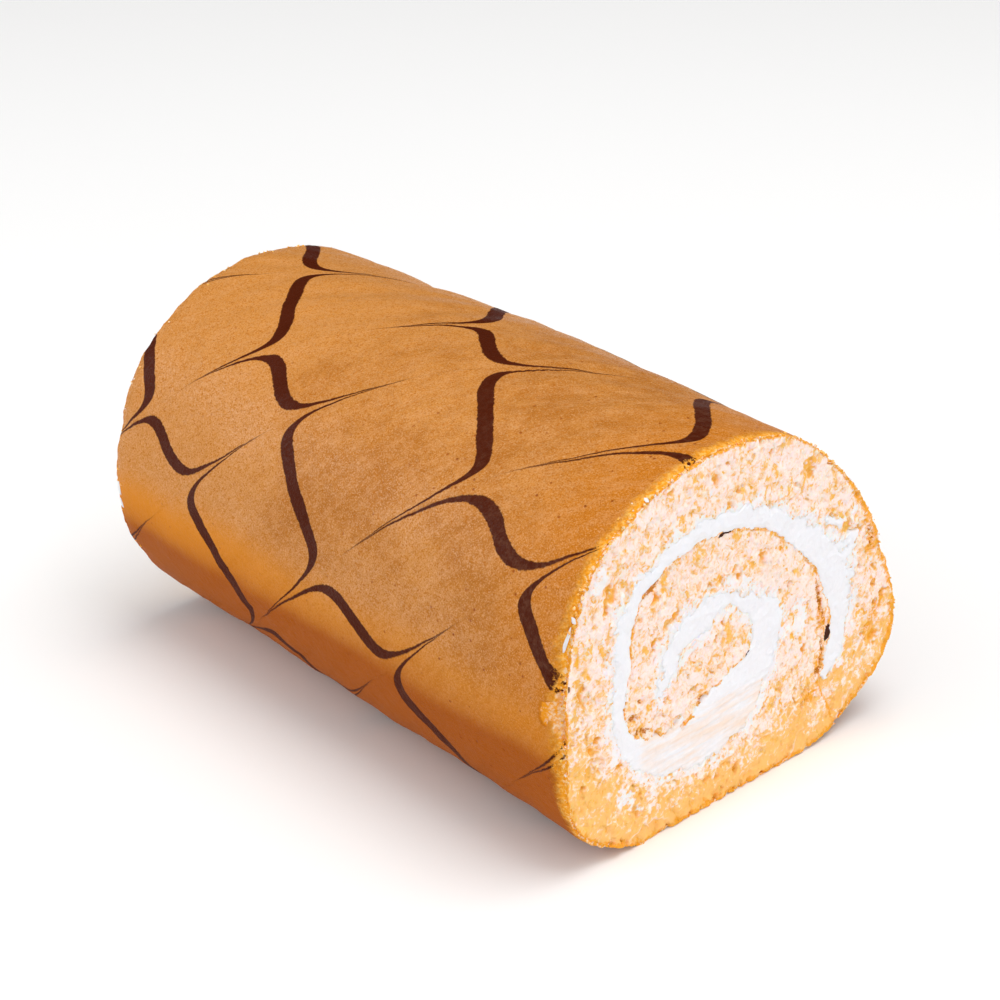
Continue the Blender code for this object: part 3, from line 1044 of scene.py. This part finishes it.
@dataclass
class Filling:
    """The spiral of whipped cream, right through the roll."""

    form: RollForm
    cell: float = 0.235 * MM
    lip: float = 0.9 * MM            # how far the cream spreads over the crumb's edge
    first_turn: float = -22.5
    fingers: tuple[tuple[tuple[float, float], tuple[float, float], float], ...] = (
        ((34.4, 15.6), (37.0, 14.2), 0.8), ((38.0, 8.0), (43.4, 8.4), 1.4),
        ((40.0, 5.0), (43.0, 6.8), 1.2), ((38.6, 1.0), (43.6, -0.6), 1.0),
        ((38.9, -4.5), (42.6, -6.6), 0.9),
    )                                # white patches in the crack: from, to and half width

    def outline(self) -> np.ndarray:
        """The cream's outline on a cut face."""
        inner, outer = self.form.cream_edges()
        shown = self.form.spiral()[:, 0] > self.first_turn
        return np.vstack((inner[shown], outer[shown][::-1]))

    def edge(self, points: np.ndarray, end: End) -> np.ndarray:
        """Signed distance from the cream's edge, negative in the cream, with cream in the crack."""
        outline = self.outline()
        distance = distance_to_line(points, np.vstack((outline, outline[:1])))
        signed = np.where(inside_polygon(points, outline), -distance, distance)
        solid = in_space(points, end.value * self.form.length)
        if end is End.FRONT:
            push = np.column_stack((perlin(solid, 2.6 * MM, 71.0), perlin(solid, 2.6 * MM, 73.0)))
            bent = points + 0.9 * MM * push
            for start, stop, half in self.fingers:
                finger = distance_to_line(bent, np.array((start, stop)) * MM) - half * MM
                signed = np.minimum(signed, finger)
        inner, outer = self.form.cream_edges()
        nearer = distance_to_line(points, inner) - distance_to_line(points, outer)
        smeared = smoothstep(-1.0 * MM, 1.0 * MM, nearer)
        from_core = np.linalg.norm(points - np.array(self.form.core) * MM, axis=1)
        middle = smoothstep(21.0 * MM, 15.0 * MM, from_core)
        middle *= smoothstep(6.0 * MM, -4.0 * MM, points[:, 0])
        smeared = np.maximum(smeared, middle)
        signed += (0.35 + 1.0 * smeared + 0.5 * middle) * MM * perlin(solid, 2.8 * MM, 2.0)
        return signed + (0.3 + 0.7 * smeared) * MM * perlin(solid, 0.9 * MM, 4.0)

    def height(self, points: np.ndarray, edge: np.ndarray, end: End) -> np.ndarray:
        """How far the cream stands in front of the cut's plane, in metres."""
        solid = in_space(points, end.value * self.form.length)
        soft = 0.45 * MM * perlin(solid, 5.0 * MM, 3.0) + 0.16 * MM * perlin(solid, 1.5 * MM, 6.0)
        knifed = self.knifed(points)
        streaks = perlin(solid @ self.knife_turn() * np.array((1.0, 0.10, 1.0)), 1.0 * MM, 9.0)
        soft = soft * (1.0 - 0.5 * knifed) + 0.22 * MM * knifed * streaks
        fall = 0.16 * smoothstep(-1.0 * MM, 0.2 * MM, edge) + 1.4 * smoothstep(0.1 * MM, self.lip, edge)
        return soft - (0.02 + fall) * MM

    def knifed(self, points: np.ndarray) -> np.ndarray:
        """Where a blade was drawn over the cream: the wide low stretch."""
        across, up = points.T
        low = smoothstep(-10.0 * MM, -17.0 * MM, up)
        low *= smoothstep(-30.0 * MM, -20.0 * MM, across)
        return low * smoothstep(33.0 * MM, 28.0 * MM, across)

    @staticmethod
    def knife_turn() -> np.ndarray:
        """Turns section coordinates so that the blade's strokes run along the second one."""
        angle = math.radians(8.0)
        return np.array(((1.0, 0.0, 0.0), (0.0, math.cos(angle), -math.sin(angle)),
                         (0.0, math.sin(angle), math.cos(angle))))

    def build(self, material: bpy.types.Material) -> bpy.types.Object:
        """Build and dress the cream.

        Args:
            material: The cream's material.

        Returns:
            The piece.
        """
        form = self.form
        bm = face_grid(form, self.cell)
        centres = face_centres(bm)
        keep = np.zeros(len(centres), bool)
        likely = np.linalg.norm(centres, axis=1) < form.outline(form.length / 2, 0.6 * MM)(centres)
        keep[likely] = self.edge(centres[likely], End.FRONT) < self.lip
        keep_faces(bm, keep)
        front = set(bm.verts)
        bmesh.ops.extrude_face_region(bm, geom=bm.faces[:], use_keep_orig=True)
        at_front = np.array([vert in front for vert in bm.verts])
        points = vertex_places(bm)[:, 1:]
        places = in_space(points)
        smear = np.zeros(len(points))
        for end, chosen in ((End.FRONT, at_front), (End.BACK, ~at_front)):
            edge = self.edge(points[chosen], end)
            height = self.height(points[chosen], edge, end)
            places[chosen, 0] = end.value * (form.length / 2 + height)
            smear[chosen] = 0.75 * self.knifed(points[chosen])
        move_vertices(bm, keep_in_box(places + form_offset(form)))
        bmesh.ops.recalc_face_normals(bm, faces=bm.faces)
        return publish(bm, "cream_filling", material, Slot.CREAM, {"smear": smear}, 70.0)


@dataclass(frozen=True)
class Spot:
    """A patch on the cut face: where, and how far it reaches along and across its own direction."""

    across: float
    up: float
    half_length: float
    half_width: float
    degrees: float = 0.0

    def mask(self, points: np.ndarray) -> np.ndarray:
        """1 at the patch's centre, falling to 0.5 at its edge and to 0 outside."""
        angle = math.radians(self.degrees)
        along = np.array((math.cos(angle), math.sin(angle)))
        offset = points - np.array((self.across, self.up)) * MM
        far = offset @ along / (self.half_length * MM)
        wide = offset @ np.array((-along[1], along[0])) / (self.half_width * MM)
        return smoothstep(1.6, 0.4, np.hypot(far, wide))


def spots(*rows: tuple[float, ...]) -> tuple[Spot, ...]:
    """Patches from rows of their numbers."""
    return tuple(Spot(*row) for row in rows)


def covered(patches: Sequence[Spot], points: np.ndarray) -> np.ndarray:
    """The strongest of some patches at each point."""
    return np.max([spot.mask(points) for spot in patches], axis=0)


# Patches on the front face, in millimetres and degrees.
COCOA_SPOTS = spots(
    (1.5, 25.2, 2.8, 0.8, 12.0), (36.0, -12.4, 2.0, 0.8, 80.0), (9.4, -7.0, 0.9, 0.7, 40.0),
    (-9.5, 44.6, 2.2, 0.6, 10.0), (51.6, 7.8, 1.7, 0.6, 105.0),
)
SCORCHED_SPOTS = spots(
    (-21.0, 20.5, 4.7, 0.7, 39.0), (-28.6, 1.0, 1.6, 0.8, 75.0), (-25.2, -8.4, 1.7, 0.8, -20.0),
    (-23.4, -5.4, 0.9, 0.6, -30.0), (-28.2, -3.6, 3.4, 0.35, 85.0), (-21.7, -12.9, 1.6, 0.7, -25.0),
    (-18.0, -15.1, 1.3, 0.8, -60.0), (-23.9, -12.6, 0.8, 0.6, 0.0), (-4.4, -13.0, 1.6, 0.8, 50.0),
    (34.4, -16.6, 5.0, 0.6, 97.0), (33.6, -21.2, 1.6, 1.0, 60.0), (32.6, -3.0, 6.0, 0.7, 107.0),
    (50.0, 10.4, 0.9, 0.5, 20.0), (48.6, 8.4, 1.8, 0.9, -45.0),
)
BROWN_SPOTS = spots(
    (33.6, -19.0, 4.6, 1.4, 80.0), (33.6, -8.0, 6.0, 1.4, 105.0), (-10.0, -16.5, 6.0, 0.9, 5.0),
    (31.2, -27.0, 4.4, 1.8, 10.0), (19.1, 15.7, 2.0, 1.0, 70.0), (-16.0, -16.8, 3.0, 0.9, 0.0),
    (48.8, 7.6, 3.2, 1.8, 110.0), (52.0, -14.0, 7.0, 1.4, 60.0), (-4.6, -12.6, 2.4, 1.4, 55.0),
)
HOLLOWS = spots(
    (52.1, -19.7, 2.4, 1.5, 70.0), (-40.5, 2.3, 2.3, 1.0, 100.0), (-36.8, -12.2, 1.8, 1.2, 110.0),
    (-37.2, -16.1, 2.0, 1.1, 80.0), (3.7, 14.3, 1.8, 0.8, 70.0), (12.8, 15.1, 2.0, 1.0, 100.0),
    (-32.4, 23.1, 2.3, 1.2, 60.0), (26.0, 32.0, 1.3, 0.9, 60.0), (-33.5, 19.5, 1.5, 1.0, 80.0),
    (40.3, 12.9, 2.0, 0.9, 100.0), (44.2, 10.2, 1.7, 1.1, 20.0), (48.9, 4.4, 2.3, 1.2, 65.0),
    (38.2, 9.8, 1.4, 0.7, 50.0), (46.0, 0.6, 1.0, 0.5, -35.0), (-18.5, 2.5, 1.6, 0.8, 80.0),
    (-13.5, 11.5, 1.4, 0.9, 80.0), (-19.5, 6.5, 1.8, 0.6, 60.0),
)
SMEARS = spots(
    (41.5, 1.0, 9.0, 3.2, 97.0), (38.0, 14.0, 3.0, 2.0, 150.0), (-26.0, -28.0, 6.0, 3.0, 130.0),
    (-36.0, 26.0, 4.0, 2.5, 60.0), (14.0, 4.0, 5.0, 2.5, 40.0), (26.0, -6.0, 8.0, 2.5, 95.0),
    (48.9, 1.3, 1.6, 0.9, -60.0), (47.0, 7.0, 1.6, 1.0, -40.0), (42.6, 15.0, 1.8, 1.0, 60.0),
)


@dataclass
class CutCrumb:
    """Half of the rolled sponge inside its skin, with the open crumb of one cut end."""

    form: RollForm
    filling: Filling
    end: End
    cell: float = 0.265 * MM
    inset: float = 0.25 * MM
    overlap: float = 0.6 * MM
    holes: tuple[tuple[float, float, float], ...] = (
        (2.8, 1.0, 0.80), (1.7, 0.85, 0.66), (1.05, 0.40, 0.60),
    )                                # size and depth in millimetres, and the share that stays closed

    @property
    def seed(self) -> float:
        """Offset of this end's noise."""
        return 0.0 if self.end is End.FRONT else 37.0

    def smear(self, points: np.ndarray) -> np.ndarray:
        """How thickly cream is smeared over the crumb beside it, 0 to 1."""
        inner, outer = self.form.cream_edges()
        bare = inner[self.form.spiral()[:, 0] > self.form.browned_turn]
        shown = self.form.spiral()[:, 0] > self.filling.first_turn + 5.0
        near = smoothstep(6.0 * MM, 0.2 * MM, distance_to_line(points, outer[shown]))
        near = np.maximum(near, smoothstep(5.0 * MM, 0.2 * MM, distance_to_line(points, bare)))
        solid = in_space(points)
        if self.end is End.FRONT:
            near = np.maximum(near, 0.85 * covered(SMEARS, points))
        patch = perlin(solid, 4.2 * MM, 17.0 + self.seed)
        patch += 0.6 * perlin(solid, 1.3 * MM, 19.0 + self.seed)
        return smoothstep(0.55, 1.0, near + 0.85 * patch)

    def tuck(self, points: np.ndarray) -> np.ndarray:
        """How far the crumb's edge tucks under the cream, and the seam's groove, in millimetres."""
        edge = self.filling.edge(points, self.end)
        inner, outer = self.form.cream_edges()
        unfilled = self.form.spiral()[:, 0] < self.filling.first_turn + 2.0
        seam = distance_to_line(points, ((inner + outer) / 2)[unfilled])
        return 2.4 * np.maximum(-0.1 * MM - edge, 0.0) / MM + 0.35 * np.exp(-(seam / (0.4 * MM)) ** 2)

    def relief(self, points: np.ndarray) -> dict[str, np.ndarray]:
        """The open crumb behind the cut's plane.

        Args:
            points: Places on the cut face.

        Returns:
            By name: depth in metres, pit from 0 to 1 in the hollows, sunk between the lumps, lip
            where a torn edge stands up, and smear where cream covers it.
        """
        seed = self.seed
        solid = in_space(points)
        warp = in_space(np.column_stack([perlin(solid, 1.7 * MM, k + seed) for k in (11.0, 23.0)]))
        fine = in_space(np.column_stack([perlin(solid, 0.7 * MM, k + seed) for k in (13.0, 29.0)]))
        bent = (solid + 0.9 * MM * warp + 0.45 * MM * fine) * np.array((1.0, 1.12, 0.84))
        loose = np.clip(0.85 + 1.1 * perlin(solid, 8.0 * MM, 31.0 + seed), 0.35, 1.4)
        pit = np.zeros(len(points))
        for size, deep, closed in self.holes:
            wall, share = foam(bent, size * MM, seed + size)
            hollow = smoothstep(0.10, 0.50, wall) * smoothstep(closed, closed + 0.2, share)
            pit = np.maximum(pit, deep * loose * hollow)
        if self.end is End.FRONT:
            pushed = points + MM * (1.5 * warp + fine)[:, 1:]
            pit = np.maximum(pit, 0.9 * covered(HOLLOWS, pushed))
            grainy = np.clip(0.5 + 1.6 * perlin(bent, 1.0 * MM, 47.0), 0.0, 1.0)
            pit = np.maximum(pit, 0.9 * covered(SCORCHED_SPOTS, points) * grainy)
        smear = self.smear(points)
        pit *= 1.0 - 0.8 * smear
        fold = perlin(solid + 1.4 * MM * warp, 13.0 * MM, 53.0 + seed)
        torn = smoothstep(0.0, 0.25, perlin(solid, 15.0 * MM, 61.0 + seed))
        lip = torn * np.exp(-(fold / 0.028) ** 2) * (1.0 - 0.7 * smear)
        depth = 0.30 * perlin(solid, 6.5 * MM, seed) + 0.50 * perlin(bent, 2.4 * MM, 41.0)
        depth += 0.25 * perlin(bent, 1.1 * MM, 43.0)
        # How deep the crumb lies between the lumps, which sets its painted shade.
        sunk = smoothstep(0.0, 0.35, depth) * (1.0 - smear)
        depth += 0.35 * torn * smoothstep(-0.03, 0.05, fold)
        depth = depth * (1.0 - 0.6 * smear) - 0.3 * lip + 0.12 + pit + self.tuck(points)
        return {"depth": np.maximum(depth, -0.05) * MM, "pit": np.clip(pit / 1.1, 0.0, 1.0),
                "sunk": sunk, "lip": lip, "smear": smear}

    def dressing(self, points: np.ndarray) -> dict[str, np.ndarray]:
        """The browned edges and warm parts of the crumb.

        Args:
            points: Places on the cut face.

        Returns:
            By name, numbers from 0 to 1 for every point: rim where it is browned, scorch, cocoa and
            warmth.
        """
        form = self.form
        x = self.end.value * form.length / 2
        gap = form.outline(x, 0.0)(points) - np.linalg.norm(points, axis=1)
        inner, _ = form.cream_edges()
        browned = inner[form.spiral()[:, 0] < form.browned_turn]
        inner_gap = distance_to_line(points, browned)
        solid = in_space(points)
        across, up = points.T
        uneven = 1.0 + 0.9 * perlin(solid, 3.0 * MM, 5.0) + 0.5 * perlin(solid, 1.0 * MM, 8.0)
        uneven = np.maximum(uneven, 0.2)
        right = smoothstep(10.0 * MM, 48.0 * MM, across) * smoothstep(40.0 * MM, 10.0 * MM, up)
        below = smoothstep(-25.0 * MM, -39.0 * MM, up)
        width = (0.55 + 1.5 * np.maximum(right, 0.7 * below)) * MM * uneven
        rim = smoothstep(1.6, 0.3, gap / width)
        rim = np.maximum(rim, 0.8 * smoothstep(2.0, 0.3, inner_gap / (0.55 * MM * uneven)))
        outside = smoothstep(24.0 * MM, 42.0 * MM, np.linalg.norm(points, axis=1))
        left = smoothstep(-26.0 * MM, -40.0 * MM, across) * smoothstep(8.0 * MM, -16.0 * MM, up)
        warmth = 0.14 + 0.33 * np.maximum(below, left)
        warmth += 0.25 * smoothstep(6.0 * MM, 1.0 * MM, gap) * np.maximum(right, below)
        warmth += 0.46 * outside * smoothstep(-6.0 * MM, -26.0 * MM, up)
        cocoa = np.zeros(len(points))
        scorch = np.zeros(len(points))
        if self.end is End.FRONT:
            rim = np.maximum(rim, 0.7 * covered(BROWN_SPOTS, points))
            scorch = covered(SCORCHED_SPOTS, points)
            cocoa = covered(COCOA_SPOTS, points)
        return {"rim": rim, "cocoa": cocoa, "scorch": scorch, "warmth": warmth}

    def build(self, material: bpy.types.Material) -> bpy.types.Object:
        """Build and dress this half of the crumb.

        Args:
            material: The crumb's material.

        Returns:
            The piece.
        """
        form = self.form
        side = self.end.value
        x = side * form.length / 2
        limit = form.outline(x, self.inset)
        bm = face_grid(form, self.cell)
        centres = face_centres(bm)
        keep = np.linalg.norm(centres, axis=1) < limit(centres)
        keep[keep] = self.filling.edge(centres[keep], self.end) > -self.overlap
        keep_faces(bm, keep)
        points = vertex_places(bm)[:, 1:]
        radius = np.linalg.norm(points, axis=1)
        points *= np.minimum(1.0, limit(points) / np.maximum(radius, 1e-9))[:, None]
        values = self.relief(points)
        values.update(self.dressing(points))
        depth = values.pop("depth")
        move_vertices(bm, np.column_stack((x - side * depth, points)) + form_offset(form))
        close_behind(bm, form, x)
        spare = np.zeros(len(bm.verts) - len(points))
        values = {name: np.concatenate((numbers, spare)) for name, numbers in values.items()}
        move_vertices(bm, keep_in_box(vertex_places(bm)))
        bmesh.ops.recalc_face_normals(bm, faces=bm.faces)
        name = "sponge_crumb_" + self.end.name.lower()
        return publish(bm, name, material, Slot.SPONGE, values, 85.0)


@dataclass(frozen=True)
class LooseCrumbs:
    """Crumbs that cling to the skin where the knife went through it."""

    form: RollForm
    count: int = 260
    reach: float = 1.5 * MM          # how far from the cut most of them lie
    size: tuple[float, float] = (0.14 * MM, 0.40 * MM)
    seed: int = 11

    def build(self, material: bpy.types.Material) -> bpy.types.Object:
        """Build and dress the crumbs.

        Args:
            material: The crumb's material.

        Returns:
            The piece.
        """
        form = self.form
        chance = np.random.default_rng(self.seed)
        bm = bmesh.new()
        layers = {name: bm.verts.layers.float.new(name) for name in ("pit", "rim", "warmth")}
        for _ in range(self.count):
            degrees = chance.uniform(-25.0, 205.0)
            behind = min(chance.exponential(0.45), 1.6) * self.reach + 0.1 * MM
            side = 1.0 if chance.random() < 0.75 else -1.0
            radius = chance.uniform(*self.size)
            shades = {"pit": chance.uniform(0.0, 0.5), "rim": chance.uniform(0.2, 0.8),
                      "warmth": chance.uniform(0.4, 1.0)}
            x = side * (form.length / 2 - behind)
            centre = form.place(np.array([degrees]), np.array([x]), -0.25 * radius)[0]
            turn = Euler(chance.uniform(0.0, math.tau, 3)).to_matrix().to_4x4()
            stretch = Matrix.Diagonal((*chance.uniform(0.7, 1.3, 3), 1.0))
            made = bmesh.ops.create_icosphere(bm, subdivisions=1, radius=radius,
                                              matrix=Matrix.Translation(centre) @ turn @ stretch)
            for vert in made["verts"]:
                vert.co += Vector(chance.normal(0.0, 0.22 * radius, 3))
                for name, layer in layers.items():
                    vert[layer] = shades[name]
        move_vertices(bm, keep_in_box(vertex_places(bm)))
        bmesh.ops.recalc_face_normals(bm, faces=bm.faces)
        return publish(bm, "loose_crumbs", material, Slot.SPONGE, {})


@dataclass(frozen=True)
class CreamFlecks:
    """Small smears of cream that the knife left on the skin beside the cuts."""

    form: RollForm
    flecks: tuple[tuple[float, float, float, float, float], ...] = (
        (119.5, 0.8, 0.8, 0.4, 20.0), (117.4, 0.4, 0.5, 0.35, 0.0), (159.0, 1.1, 2.4, 0.28, 94.0),
        (153.8, 0.7, 0.7, 0.4, 60.0), (184.0, 149.3, 1.8, 0.7, 85.0),
        (189.0, 149.2, 1.2, 0.6, 70.0), (60.0, 149.3, 1.4, 0.6, 95.0), (30.0, 0.7, 0.8, 0.5, 75.0),
    )                                # degrees, behind, half length, half width, and its turn
    skin_radius: float = 46.0 * MM
    height_share: float = 0.4        # of a fleck's half width

    def build(self, material: bpy.types.Material) -> bpy.types.Object:
        """Build and dress the flecks.

        Args:
            material: The cream's material.

        Returns:
            The piece.
        """
        form = self.form
        bm = bmesh.new()
        for degrees, behind, length, width, turned in self.flecks:
            made = bmesh.ops.create_icosphere(bm, subdivisions=3, radius=1.0)
            local = np.array([vert.co for vert in made["verts"]])
            lumps = 1.0 + 0.5 * perlin(local + degrees, 0.9)
            cosine, sine = math.cos(math.radians(turned)), math.sin(math.radians(turned))
            long, wide = local[:, 0] * length, local[:, 1] * width
            along = (long * cosine - wide * sine) * lumps * MM
            across = (long * sine + wide * cosine) * lumps * MM
            x = form.length / 2 - behind * MM + along
            turn = degrees + np.degrees(across / self.skin_radius)
            places = form.place(turn, x, local[:, 2] * self.height_share * width * MM * lumps)
            for vert, place in zip(made["verts"], keep_in_box(places)):
                vert.co = place
        bmesh.ops.recalc_face_normals(bm, faces=bm.faces)
        return publish(bm, "cream_flecks", material, Slot.CREAM, {})


# ---------------------------------------------------------------- studio

@dataclass(frozen=True)
class Softbox:
    """A square area light, aimed at the roll."""

    name: str
    place: tuple[float, float, float]
    size: float
    watts: float


@dataclass
class Studio:
    """Pale floor, soft lights and the camera."""

    camera_place: tuple[float, float, float] = (0.3591, -0.3362, 0.2925)
    azimuth: float = 46.73
    elevation: float = 26.81
    lens: float = 86.65
    softboxes: tuple[Softbox, ...] = (
        Softbox("key", (-0.66, -0.64, 0.42), 0.5, 1.8),
        Softbox("face_fill", (1.0, -0.1, 0.45), 0.7, 0.55),
        Softbox("top", (0.22, 0.12, 1.1), 0.8, 7.4),
    )
    sky: float = 0.82
    dark_side: tuple[float, float, float] = (-0.68, 0.62, 0.39)      # where the studio is darker
    dark_share: float = 0.95
    dark_from: float = 0.45          # cosine of the angle from the dark side's middle
    dark_full: float = 0.85

    def build(self) -> None:
        """Build the floor, the lights, the sky and the camera."""
        scene = bpy.context.scene
        bm = bmesh.new()
        bmesh.ops.create_grid(bm, x_segments=1, y_segments=1, size=6.0)
        mesh = bpy.data.meshes.new("floor")
        bm.to_mesh(mesh)
        bm.free()
        graph = Graph("floor")
        mesh.materials.append(graph.finish((0.92, 0.915, 0.91), 0.9, (0.0, 0.0, 0.0)))
        floor = bpy.data.objects.new("floor", mesh)
        scene.collection.objects.link(floor)
        for box in self.softboxes:
            light = bpy.data.lights.new(box.name, "AREA")
            light.size = box.size
            light.energy = box.watts
            lamp = bpy.data.objects.new(box.name, light)
            lamp.location = box.place
            aim = Vector((0.0, 0.0, 0.04)) - lamp.location
            lamp.rotation_euler = aim.to_track_quat("-Z", "Y").to_euler()
            scene.collection.objects.link(lamp)
        world = bpy.data.worlds.new("studio")
        world.use_nodes = True
        background = world.node_tree.nodes["Background"]
        background.inputs["Color"].default_value = (1.0, 1.0, 1.0, 1.0)
        self.darken(world.node_tree, background.inputs["Strength"])
        scene.world = world
        scene.view_settings.view_transform = "Standard"
        camera = bpy.data.cameras.new("camera")
        camera.lens = self.lens
        camera.sensor_width = 36.0
        eye = bpy.data.objects.new("camera", camera)
        eye.location = self.camera_place
        tilt, turn = math.radians(90.0 - self.elevation), math.radians(self.azimuth)
        eye.rotation_euler = Euler((tilt, 0.0, turn))
        scene.collection.objects.link(eye)
        scene.camera = eye

    def darken(self, tree: bpy.types.NodeTree, strength: bpy.types.NodeSocket) -> None:
        """Feed the sky's strength, less towards the studio's dark side.

        Args:
            tree: The sky's node tree.
            strength: The socket that takes the strength.
        """
        direction = tree.nodes.new("ShaderNodeTexCoord").outputs["Generated"]
        facing = tree.nodes.new("ShaderNodeVectorMath")
        facing.operation = "DOT_PRODUCT"
        facing.inputs[1].default_value = self.dark_side
        tree.links.new(direction, facing.inputs[0])
        fade = tree.nodes.new("ShaderNodeMapRange")
        fade.interpolation_type = "SMOOTHSTEP"
        for name, value in {
            "From Min": self.dark_from, "From Max": self.dark_full,
            "To Min": self.sky, "To Max": self.sky * (1.0 - self.dark_share),
        }.items():
            fade.inputs[name].default_value = value
        tree.links.new(facing.outputs["Value"], fade.inputs["Value"])
        tree.links.new(fade.outputs["Result"], strength)


def main() -> None:
    """Build every piece in order."""
    logging.basicConfig(level=logging.INFO, format="%(name)s %(message)s")
    form = RollForm()
    Studio().build()
    Skin(form).build(SkinFinish().material())
    crumb = CrumbFinish().material("crumb")
    filling = Filling(form)
    for end in End:
        CutCrumb(form, filling, end).build(crumb)
    LooseCrumbs(form).build(crumb)
    cream = CreamFinish().material("cream")
    filling.build(cream)
    CreamFlecks(form).build(cream)


if __name__ == "__main__":
    main()
